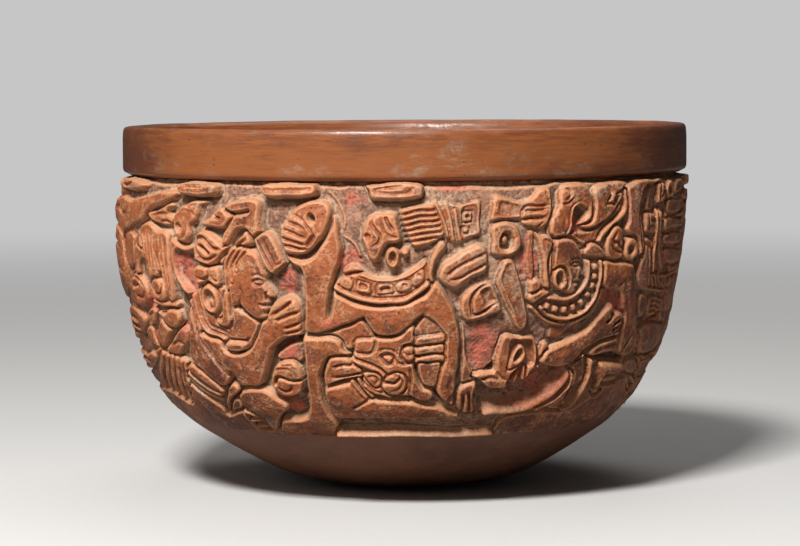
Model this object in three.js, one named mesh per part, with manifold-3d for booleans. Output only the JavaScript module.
// A deep carved pottery bowl, in millimetres, +Z up, with its origin at the middle of the flat resting face.
// A position on the wall is an angle and a height: angle 0 faces -Y, and angles grow towards +X.

import * as THREE from 'three';
import { mergeVertices } from 'three/addons/utils/BufferGeometryUtils.js';
import Module from 'manifold-3d';

const wasm = await Module();
wasm.setup();

// Driving dimensions
const HEIGHT = 107.5;              // resting face to lip
const RIM_RADIUS = 85.0;           // outside, at the lip
const REST_RADIUS = 20.5;          // flat resting face
const BAND_BOTTOM = 92.8;          // underside of the smooth rim band
const LEDGE_HEIGHT = 20.9;         // where the carved zone starts
const WALL_SPLIT = 43;             // top of the lower of the wall's two rings
const RELIEF_DEPTH = 3.2;          // uncarved surface down to the cut-back ground
const LIP_INNER_RADIUS = 79.0;     // inside edge of the rounded lip
const FLOOR_HEIGHT = 8.0;          // inside bottom, on the axis
const GAP = 0.3;                   // between neighbouring parts
const MOTIF_GAP = 0.5;             // between neighbouring carved motifs
const SIDES = 48;                  // facets round the bowl

// Outside of the uncarved bowl, as height and radius, from the resting face up
const OUTSIDE = [
  [0, REST_RADIUS], [3.3, 36.5], [8.1, 46.5], [14.5, 57.3], [20.5, 65.9], [28.5, 73.5], [39.5, 79.0],
  [52.5, 82.6], [66.5, 85.2], [78, 86.1], [93.3, 85.5], [HEIGHT, RIM_RADIUS],
];

// Inside of the bowl, as height and radius, from the floor up
const INSIDE = [
  [FLOOR_HEIGHT, 0], [8.6, 20], [12, 40], [20, 56.5], [30, 66.2], [42, 72], [58, 75.8], [76, 77.8], [94, 78.3],
];

const COLOURS = {
  burnished: 0xb0622f,
  relief: 0xb5713f,
  ground: 0x9c8064,
  shadowed: 0x7e4a2c,
};

// Carved motifs seen from the front, as outlines of [angle, height] going round each one
const FRONT = {
  bar_far_left: ['relief', [[-75, 90.3], [-74, 92], [-64, 92.2], [-60.5, 91], [-63, 89.6], [-70, 89.2]]],
  bar_left: ['relief', [[-48.6, 89.4], [-48.6, 91.8], [-47, 92.3], [-39, 92.3], [-38, 91], [-38.4, 89.2]]],
  bar_middle: ['relief', [[-27.9, 89.6], [-27.7, 92.3], [-17.3, 92.3], [-16.4, 91], [-17.5, 89.2], [-26.5, 88.9]]],
  bar_centre: ['relief', [[-6.7, 88.8], [-6.9, 92], [-5.8, 92.3], [2.4, 92.3], [3.4, 91], [3.1, 89.2], [2, 88.6]]],
  feather_hood: ['relief', [[-79, 72], [-78, 83], [-74, 87.5], [-66, 87], [-56, 88.8], [-51, 89], [-51.5, 87],
    [-58, 85], [-61, 82.2], [-66, 81.3], [-71, 81.6], [-74.5, 77], [-75.5, 62], [-78, 60]]],
  feather_panel: ['relief', [[-65, 72], [-62.5, 79.5], [-59.5, 80.8], [-55, 79], [-52.4, 76], [-52.4, 58.5],
    [-54, 57.5], [-56, 59], [-59, 57.6], [-61.2, 60], [-61.8, 70.2]]],
  shell_block: ['relief', [[-74, 62], [-70, 64.5], [-66, 63], [-63, 59], [-61.5, 55], [-58, 52.8], [-52.5, 54.5],
    [-51.8, 52.2], [-57, 47.5], [-62, 43.8], [-66, 45], [-69, 49.5], [-73, 52]]],
  feather_fan: ['relief', [[-52.5, 44.5], [-54, 40], [-57.5, 33], [-60.5, 29.5], [-67, 29.5], [-71, 35],
    [-66, 39.5], [-61, 43], [-56, 46.3]]],
  hooked_scroll: ['relief', [[-50.2, 83.2], [-46, 85.2], [-41.5, 86.8], [-42.5, 85], [-45, 82.5], [-44.8, 78],
    [-46.5, 75.7], [-49, 76], [-50, 79]]],
  headdress: ['relief', [[-44.2, 75], [-42.4, 78.3], [-42, 80.8], [-39, 83.5], [-37, 86.4], [-33.5, 87.9],
    [-29.5, 87.4], [-28.2, 84], [-26.8, 79.8], [-29.8, 76.6], [-33.5, 75], [-37.4, 71], [-40, 69.7], [-43, 71]]],
  left_head: ['relief', [[-44.8, 64.2], [-44.4, 68.4], [-41.5, 69.4], [-38, 70.4], [-34, 74.5], [-31.3, 73.2],
    [-28.6, 67.8], [-25.4, 64.6], [-27.4, 62], [-28.4, 59.6], [-30.2, 56.5], [-33, 53.8], [-36, 55.2],
    [-38.5, 57], [-41.5, 55.8], [-43.6, 58.8], [-42.8, 62.6]]],
  left_rod: ['relief', [[-29.4, 75.6], [-28.5, 77.6], [-26.4, 78.8], [-23.4, 71.2], [-25.6, 67.3], [-27.3, 68.2]]],
  cape: ['relief', [[-47.8, 59], [-49.2, 50], [-50.4, 42], [-46.5, 37], [-42.8, 34.7], [-41, 37.2], [-44.5, 43.5],
    [-46.6, 49], [-46.4, 56]]],
  left_arm: ['relief', [[-45.6, 49.2], [-43.6, 43.6], [-40.6, 38.6], [-37.8, 35.4], [-33, 35.1], [-31.2, 37.6],
    [-28.8, 43.4], [-27.4, 46.6], [-25.4, 49], [-21.4, 50.3], [-21, 59.2], [-24.6, 60.6], [-28.6, 56.6],
    [-31, 49.6], [-33.8, 45.6], [-38.4, 45.2], [-40.4, 48.2]]],
  small_scroll: ['relief', [[-29.4, 36], [-28.6, 40.6], [-26, 41.6], [-22.8, 38.6], [-22.4, 35], [-24, 32.8],
    [-26.6, 32], [-29, 33]]],
  knot_and_sash: ['relief', [[-53.6, 35.4], [-52.6, 39.2], [-50.2, 40], [-47, 36.2], [-43.4, 33.6], [-41, 35.2],
    [-39.2, 34.8], [-40.2, 31], [-42, 27.4], [-45.6, 27], [-48.4, 30.6]]],
  thigh: ['relief', [[-39.6, 30.4], [-38, 33.4], [-34, 34.3], [-30.2, 33.2], [-26.8, 29.8], [-29.6, 27],
    [-32.6, 22.4], [-35, 21.9], [-36.8, 25.6], [-39.4, 27.8]]],
  rattle: ['relief', [[-23.8, 76.6], [-23.4, 82], [-20.8, 86.6], [-17, 88.2], [-14.8, 87.4], [-13.9, 84],
    [-15.4, 79], [-18.2, 74.2], [-20.6, 72.8], [-22.6, 73.6]]],
  rattle_leg: ['relief', [[-23.4, 74.2], [-20.2, 69], [-20, 52], [-20.9, 46], [-21.2, 36], [-22, 29.4],
    [-24.4, 26], [-30, 24.6], [-32.2, 21.3], [-17.2, 21.9], [-15.9, 25], [-18, 32], [-17.4, 39.6], [-15.8, 44.2],
    [-12.4, 45], [-13.8, 49.6], [-16.4, 51.6], [-15.4, 58], [-13.8, 67], [-12.5, 76], [-13.2, 82.6],
    [-16, 75.6], [-18.2, 71.6], [-21, 71.6]]],
  creature_head: ['relief', [[-8.2, 76], [-7.6, 82.4], [-5.6, 85.6], [-1, 85.8], [5.8, 87], [13.6, 86.4],
    [13.8, 79.2], [9.4, 75.6], [4, 75.4], [0.8, 73.2], [-1.6, 70.2], [-3.8, 71], [-5.4, 72.4], [-7, 71.8]]],
  creature_collar: ['relief', [[-13.4, 62.8], [-10.2, 60.4], [-6, 59.4], [-1.6, 60], [1.6, 61.6], [3.8, 64.8],
    [3.6, 69.4], [2.2, 72.4], [-1, 68.6], [-4, 67.4], [-7.4, 69.8], [-11.4, 68.4]]],
  creature_body: ['relief', [[-18.6, 51.2], [-14.6, 52.4], [-9, 55.2], [-6.6, 51.2], [-4, 50.4], [-1.4, 51.2],
    [1.6, 54.2], [3.4, 55.4], [6.8, 49.8], [7.4, 43.4], [6, 35], [7.6, 30.8], [9.8, 29.9], [10.2, 36],
    [10.2, 48], [9.8, 55.4], [8.4, 60], [6.2, 64.8], [4.6, 64.2], [2.2, 60.2], [-1.8, 58.8], [-6.2, 58.2],
    [-10.6, 59.2], [-14, 61.4]]],
  belly_head: ['relief', [[-10.8, 42.6], [-10.6, 49.2], [-6.4, 49.6], [-2.8, 48.8], [1, 52.8], [1.6, 48.6],
    [7, 49.2], [6.9, 43.4], [5.8, 38], [5.6, 33.2], [3.6, 31.7], [-0.6, 33.2], [-3, 33], [-6, 35.2], [-9, 37],
    [-14.8, 37], [-16.8, 37.6], [-15.4, 43.4], [-12.6, 43.8]]],
  low_slab: ['relief', [[-17.2, 35.4], [-11.6, 36.2], [-8, 31.4], [-2, 31.7], [4, 30.3], [7.4, 29.2], [11.2, 26.8],
    [6, 25.6], [-15.4, 26], [-17.4, 30.4]]],
  capsule: ['relief', [[6, 68.2], [8.4, 72.4], [13.4, 75.8], [15.2, 72.4], [14.6, 68], [11, 65.4], [8.4, 63.9],
    [6.6, 66]]],
  cartouche: ['relief', [[10.3, 60], [12, 63.6], [15.4, 65.4], [16.9, 62], [18.2, 58.4], [17.2, 56.4], [13, 54.4],
    [10.8, 56.4]]],
  spindle: ['relief', [[17, 65], [18.2, 70.6], [19.8, 71], [21.4, 67.4], [22.6, 61.4], [23.7, 56.6], [22.2, 52.2],
    [20.6, 54.6], [18.6, 59.6]]],
  ring: ['relief', [[16.1, 76.6], [16.6, 80], [18.6, 81.6], [20.8, 80.2], [21.8, 76.9], [20.8, 73.6], [18.8, 72.4],
    [16.8, 73.2]]],
  trunk_headdress: ['relief', [[16.2, 82.4], [16.4, 88.4], [21.8, 87.6], [25, 90.9], [30.8, 91.8], [36, 91.2],
    [37.1, 86], [35.6, 81.4], [33.4, 82.6], [34.4, 86], [32, 85], [31.4, 79.2], [28.4, 76], [25.2, 77.4],
    [22.6, 79.6], [21.4, 82.2]]],
  feather_lobes: ['relief', [[34.6, 80.3], [36.2, 81.1], [37.8, 86.4], [37.4, 91], [41, 92.3], [45.6, 92.2],
    [45.6, 84], [43.4, 80.2], [45.4, 75], [44.6, 70.4], [40.6, 70.6], [36, 71.4], [34.2, 75.4], [38, 77.8],
    [41.4, 81.8], [42, 85.2], [38.6, 80.4], [36.2, 79]]],
  earring_disc: ['relief', [[45.6, 72.6], [46.4, 75.4], [48, 76], [49.6, 74.4], [50, 71.2], [48.4, 69.2],
    [46.4, 69.8]]],
  right_head: ['relief', [[23.6, 61], [23.6, 65.2], [25.8, 66.6], [25.3, 74.4], [27, 77], [29, 75.2], [33, 77.6],
    [35.2, 73], [34.8, 67.4], [33.6, 62], [30, 61.8], [26.8, 60]]],
  beaded_collar: ['relief', [[25.4, 58.2], [27.8, 54.6], [31.2, 53.4], [35.2, 54.4], [38.4, 58.8], [39, 65],
    [38.6, 70], [36.4, 70], [36.3, 64.2], [34.4, 60.4], [31.2, 59.4], [28.2, 59.9]]],
  shoulder_and_arm: ['relief', [[39.8, 66], [40.4, 69.6], [47.6, 68.8], [49.6, 66.6], [51, 60.8], [52.8, 54.6],
    [54.8, 48.4], [55, 43], [51, 41.4], [48.3, 43.4], [48.3, 50.4], [46.8, 56.4], [45, 61], [41.4, 61.2]]],
  long_arm: ['relief', [[27.9, 41.2], [28.4, 45.8], [33, 47.8], [37.8, 50.6], [40.6, 54.8], [44, 56.8],
    [45.2, 54], [47.6, 52], [47.7, 43.6], [40.6, 43.2], [38.6, 44.2], [34, 40]]],
  animal_head: ['relief', [[18.2, 48.8], [21, 49.4], [24.6, 49], [26.6, 46], [26.9, 40.2], [25, 37.2],
    [21, 36.4], [17.8, 33.6], [18.6, 30.4], [17, 27.6], [11.4, 28], [10.9, 34.6], [14, 38.6], [17.8, 39.6]]],
  drapery: ['relief', [[34.3, 39.8], [37.6, 43.2], [42.8, 42.4], [52.8, 38], [46, 35.8], [45, 32.8],
    [41.2, 33.6], [39.6, 28.2], [31.6, 27.4], [34.4, 31.6], [35.6, 35.6]]],
  border_band: ['relief', [[46.4, 90], [49.8, 92.2], [60, 92.2], [60.4, 84], [58.6, 69], [55.6, 66], [52.3, 71.4],
    [52.4, 76.4], [50.8, 83], [50, 78], [51.6, 71.6], [50.6, 70.4], [47.4, 78.2], [46.6, 84]]],
};

// The unseen back repeats the larger signs. One run is turned the other way: its angles are taken from this one.
const TURNED_FROM = 195;
const TURNED = [
  'feather_hood', 'headdress', 'left_head', 'left_arm', 'rattle_leg', 'creature_head', 'creature_body',
  'trunk_headdress', 'shoulder_and_arm', 'long_arm', 'animal_head', 'feather_lobes',
];

// The other run, between the front and the turned one, is moved on by this angle
const MOVED_BY = 112.5;
const MOVED = [
  'headdress', 'left_head', 'left_arm', 'rattle', 'creature_head', 'creature_body',
];

// Interpolates a table of [height, radius] pairs with a smooth curve through its points
function profileCurve(table, count) {
  const points = table.map(([height, radius]) => new THREE.Vector2(radius, height));
  return new THREE.SplineCurve(points).getPoints(count);
}

// Radius at a height on a list of profile points that climbs steadily
function radiusAt(points, height) {
  for (let i = 1; i < points.length; i += 1) {
    const low = points[i - 1];
    const high = points[i];
    if (height <= high.y) {
      const t = (height - low.y) / Math.max(high.y - low.y, 1e-9);
      return low.x + (high.x - low.x) * t;
    }
  }
  return points[points.length - 1].x;
}

// The same profile moved square to itself by a distance, positive towards the axis
function offsetProfile(points, distance) {
  return points.map((point, i) => {
    const before = points[Math.max(i - 1, 0)];
    const after = points[Math.min(i + 1, points.length - 1)];
    const along = after.clone().sub(before).normalize();
    return new THREE.Vector2(point.x - along.y * distance, point.y + along.x * distance);
  });
}

const outside = profileCurve(OUTSIDE, 120);
const inside = profileCurve(INSIDE, 90);
const ground = offsetProfile(outside, RELIEF_DEPTH);
const clearance = offsetProfile(outside, RELIEF_DEPTH - GAP);

// Heights at which every ring of the wall has a row of vertices, closer where the wall curves most
const ROWS = [21.3, 27, 34, 43, 54, 66, 79, 92.3];

// Turns a closed profile, given counter-clockwise as [radius, height], into a solid of revolution
function revolve(profile) {
  const points = profile.map(([radius, height]) => new THREE.Vector2(radius, height));
  const geometry = new THREE.LatheGeometry(points, SIDES);
  geometry.rotateX(Math.PI / 2);
  return toSolid(geometry);
}

// Makes a manifold solid of a closed geometry, turned so that its faces point out
function toSolid(geometry) {
  const bare = geometry.clone();
  bare.deleteAttribute('normal');
  bare.deleteAttribute('uv');
  const merged = mergeVertices(bare, 1e-5);
  const position = merged.getAttribute('position');
  const source = Array.from(merged.index.array);
  const triangles = [];
  for (let i = 0; i < source.length; i += 3) {
    const [a, b, c] = source.slice(i, i + 3);
    if (a !== b && b !== c && c !== a) {
      triangles.push(a, b, c);
    }
  }
  let volume = 0;
  const corners = [new THREE.Vector3(), new THREE.Vector3(), new THREE.Vector3()];
  for (let i = 0; i < triangles.length; i += 3) {
    corners.forEach((corner, j) => corner.fromBufferAttribute(position, triangles[i + j]));
    volume += corners[0].dot(corners[1].clone().cross(corners[2]));
  }
  if (volume < 0) {
    for (let i = 0; i < triangles.length; i += 3) {
      [triangles[i], triangles[i + 1]] = [triangles[i + 1], triangles[i]];
    }
  }
  const mesh = new wasm.Mesh({
    numProp: 3,
    vertProperties: new Float32Array(position.array),
    triVerts: new Uint32Array(triangles),
  });
  return new wasm.Manifold(mesh);
}

// Adds a solid to the group as a named mesh with its finish
function addPart(group, name, solid, finish, roughness) {
  const mesh = solid.getMesh();
  const geometry = new THREE.BufferGeometry();
  geometry.setAttribute('position', new THREE.Float32BufferAttribute(mesh.vertProperties, 3));
  geometry.setIndex(Array.from(mesh.triVerts));
  geometry.computeVertexNormals();
  const material = new THREE.MeshStandardMaterial({ color: COLOURS[finish], roughness, metalness: 0 });
  const part = new THREE.Mesh(geometry, material);
  part.name = name;
  group.add(part);
}

// Twice the signed area of an outline of [angle, height] points
function turn(outline) {
  let sum = 0;
  outline.forEach(([x, y], i) => {
    const [nextX, nextY] = outline[(i + 1) % outline.length];
    sum += x * nextY - nextX * y;
  });
  return sum;
}

// Moves every point of an outline out by a distance in millimetres
function growOutline(outline, distance) {
  const side = Math.sign(turn(outline));
  return outline.map(([angle, height], i) => {
    const radius = radiusAt(outside, height);
    const scale = THREE.MathUtils.degToRad(radius);
    const before = outline[(i + outline.length - 1) % outline.length];
    const after = outline[(i + 1) % outline.length];
    const arriving = new THREE.Vector2((angle - before[0]) * scale, height - before[1]).normalize();
    const leaving = new THREE.Vector2((after[0] - angle) * scale, after[1] - height).normalize();
    const normal = new THREE.Vector2(arriving.y + leaving.y, -arriving.x - leaving.x).normalize();
    const spread = Math.max(normal.dot(new THREE.Vector2(leaving.y, -leaving.x)), 0.5);
    const step = side * distance / spread;
    return [angle + normal.x * step / scale, height + normal.y * step];
  });
}

// A block that stands on an outline of the wall and runs straight out from the axis
function radialBlock(shape) {
  const NEAR = 50;
  const FAR = 96;
  const outline = turn(shape) > 0 ? shape : shape.toReversed();
  const vertices = [];
  for (const radius of [NEAR, FAR]) {
    for (const [angle, height] of outline) {
      const a = THREE.MathUtils.degToRad(angle);
      vertices.push(radius * Math.sin(a), -radius * Math.cos(a), height);
    }
  }
  const flat = outline.map(([angle, height]) => new THREE.Vector2(angle, height));
  const cap = THREE.ShapeUtils.triangulateShape(flat, []);
  const count = outline.length;
  const index = [];
  for (const [a, b, c] of cap) {
    index.push(a, c, b, a + count, b + count, c + count);
  }
  for (let i = 0; i < count; i += 1) {
    const j = (i + 1) % count;
    index.push(i, j, j + count, i, j + count, i + count);
  }
  const geometry = new THREE.BufferGeometry();
  geometry.setAttribute('position', new THREE.Float32BufferAttribute(vertices, 3));
  geometry.setIndex(index);
  return toSolid(geometry);
}

// The largest connected body of a solid
function largestBody(solid) {
  const bodies = solid.decompose();
  return bodies.reduce((best, body) => (body.volume() > best.volume() ? body : best));
}

const bowl = new THREE.Group();

// Lower bowl: outside up to the ledge, across to the inside, and down to the floor
const lowerHeights = [0, 1.6, 4, 8, 13, LEDGE_HEIGHT];
const lowerInside = [LEDGE_HEIGHT, 15, 11, 8.8];
const lowerProfile = [
  [0, 0],
  ...lowerHeights.map((height) => [radiusAt(outside, height), height]),
  ...lowerInside.map((height) => [radiusAt(inside, height), height]),
  [0, FLOOR_HEIGHT],
];
addPart(bowl, 'lower_bowl', revolve(lowerProfile), 'shadowed', 0.6);

// Wall of the carved zone, in two rings: its cut-back ground outside and the smooth inside
const wallTop = BAND_BOTTOM - GAP;
const wallBottom = LEDGE_HEIGHT + GAP;
const middleRows = ROWS.slice(1, -1);
const WALL_RINGS = [
  ['wall_lower', [wallBottom, ...middleRows.filter((height) => height < WALL_SPLIT), WALL_SPLIT]],
  ['wall_upper', [WALL_SPLIT + GAP, ...middleRows.filter((height) => height > WALL_SPLIT + GAP), wallTop]],
];
for (const [name, heights] of WALL_RINGS) {
  const profile = [
    ...heights.map((height) => [radiusAt(ground, height), height]),
    ...heights.toReversed().map((height) => [radiusAt(inside, height), height]),
  ];
  profile.push(profile[0]);
  addPart(bowl, name, revolve(profile), 'ground', 0.9);
}

// Rim band with its rounded lip
const lipMiddle = (RIM_RADIUS + LIP_INNER_RADIUS) / 2;
const bandProfile = [
  [radiusAt(inside, BAND_BOTTOM), BAND_BOTTOM],
  [radiusAt(outside, BAND_BOTTOM), BAND_BOTTOM],
  [85.3, 99],
  [RIM_RADIUS, HEIGHT - 1.6],
  [RIM_RADIUS - 0.7, HEIGHT - 0.5],
  [lipMiddle + 1, HEIGHT],
  [lipMiddle - 0.8, HEIGHT],
  [LIP_INNER_RADIUS + 0.6, HEIGHT - 0.9],
  [LIP_INNER_RADIUS - 0.3, HEIGHT - 3],
  [78.4, 100],
];
bandProfile.push(bandProfile[0]);
addPart(bowl, 'rim_band', revolve(bandProfile), 'burnished', 0.45);

// The skin that the carver left standing: all motifs are cut out of this ring
const skinProfile = [
  ...ROWS.map((height) => [radiusAt(clearance, height), height]),
  ...ROWS.toReversed().map((height) => [radiusAt(outside, height), height]),
];
skinProfile.push(skinProfile[0]);
const skin = revolve(skinProfile);

// Cuts one motif out of the skin, clear of every motif placed before it
const placed = [];
function addMotif(name, outline, finish) {
  let solid = skin.intersect(radialBlock(outline));
  const low = Math.min(...outline.map(([angle]) => angle));
  const high = Math.max(...outline.map(([angle]) => angle));
  for (const other of placed) {
    if (other.low < high + 2 && low < other.high + 2) {
      solid = solid.subtract(other.block);
    }
  }
  placed.push({ low, high, block: radialBlock(growOutline(outline, MOTIF_GAP)) });
  addPart(bowl, name, largestBody(solid), finish, 0.6);
}

for (const [name, [finish, outline]] of Object.entries(FRONT)) {
  addMotif(name, outline, finish);
}
for (const name of MOVED) {
  const [finish, outline] = FRONT[name];
  addMotif(`side_${name}`, outline.map(([angle, height]) => [angle + MOVED_BY, height]), finish);
}
for (const name of TURNED) {
  const [finish, outline] = FRONT[name];
  addMotif(`back_${name}`, outline.map(([angle, height]) => [TURNED_FROM - angle, height]), finish);
}

export default bowl;
